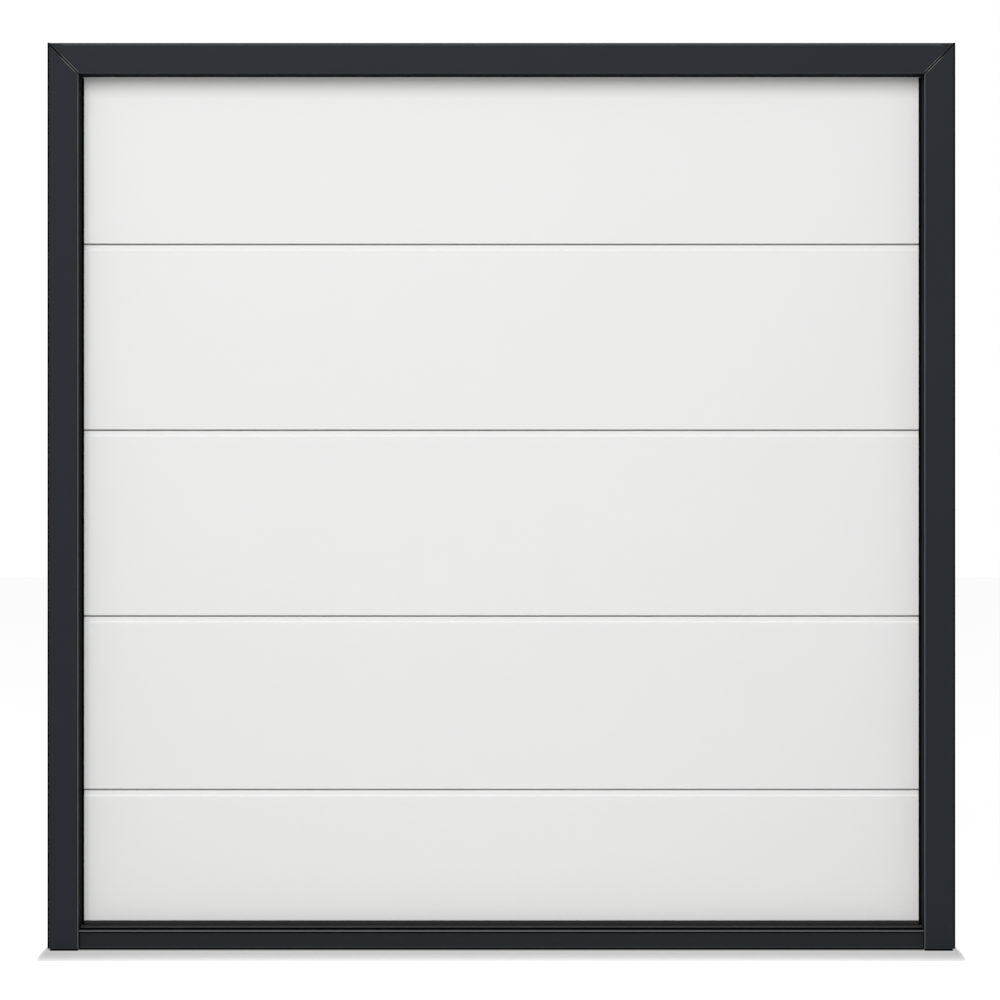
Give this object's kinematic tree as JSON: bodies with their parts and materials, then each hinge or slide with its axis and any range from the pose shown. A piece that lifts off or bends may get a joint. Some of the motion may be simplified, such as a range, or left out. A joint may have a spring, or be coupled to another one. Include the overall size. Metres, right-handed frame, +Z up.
{
  "type": "sectional garage door",
  "caption": "Sectional garage door with plain white sections in a dark mitred steel frame, with threshold, tracks, hinges, rollers and a rear torsion counterbalance.",
  "frame": {"origin": "middle of the threshold's underside at floor level, in the plane of the leaf's outer face", "axes": "+Z up, -Y towards the outside of the building, +X to the right seen from outside"},
  "size_m": [2.4168, 2.69, 2.6],
  "materials": {
    "frame_coat": "fine satin powder coat, anthracite",
    "threshold_coat": "satin coated aluminium",
    "rail_coat": "satin coated aluminium",
    "white_coat": "smooth satin coil coat",
    "black_rubber": "matt extruded rubber",
    "black_plastic": "moulded, matt",
    "galvanised": "zinc coated sheet",
    "bright_steel": "turned, zinc plated",
    "nylon": "moulded nylon",
    "spring_steel": "oil tempered wire",
    "cast_aluminium": "as cast"
  },
  "bodies": {
    "root": {"frame_head": "frame_coat", "frame_jamb_left": "frame_coat", "frame_jamb_right": "frame_coat", "corner_cleats": "black_plastic", "wall_seals": "black_rubber", "jamb_feet": "black_rubber", "threshold": "threshold_coat", "threshold_pad": "black_rubber", "threshold_strip": "black_rubber", "head_seal": "black_rubber", "jamb_seals": "black_rubber", "section_1": "white_coat", "section_2": "white_coat", "section_3": "white_coat", "section_4": "white_coat", "section_5": "white_coat", "joint_seals": "black_rubber", "bottom_rail": "rail_coat", "bottom_seal": "black_rubber", "end_caps": "galvanised", "hinge_leaves_lower": "galvanised", "hinge_leaves_upper": "galvanised", "hinge_pins": "bright_steel", "roller_stems": "bright_steel", "roller_wheels": "nylon", "bottom_brackets": "galvanised", "top_brackets": "galvanised", "vertical_track_left": "galvanised", "vertical_track_right": "galvanised", "curved_track_left": "galvanised", "curved_track_right": "galvanised", "horizontal_track_left": "galvanised", "horizontal_track_right": "galvanised", "upper_track_left": "galvanised", "upper_track_right": "galvanised", "track_brackets": "galvanised", "corner_gussets": "galvanised", "rear_crossbar": "galvanised", "ceiling_hangers": "galvanised", "spring_shaft": "bright_steel", "torsion_springs": "spring_steel", "spring_cones": "cast_aluminium", "cable_drums": "cast_aluminium", "bearing_plates": "galvanised", "front_pulleys": "nylon"}
  },
  "joints": []
}
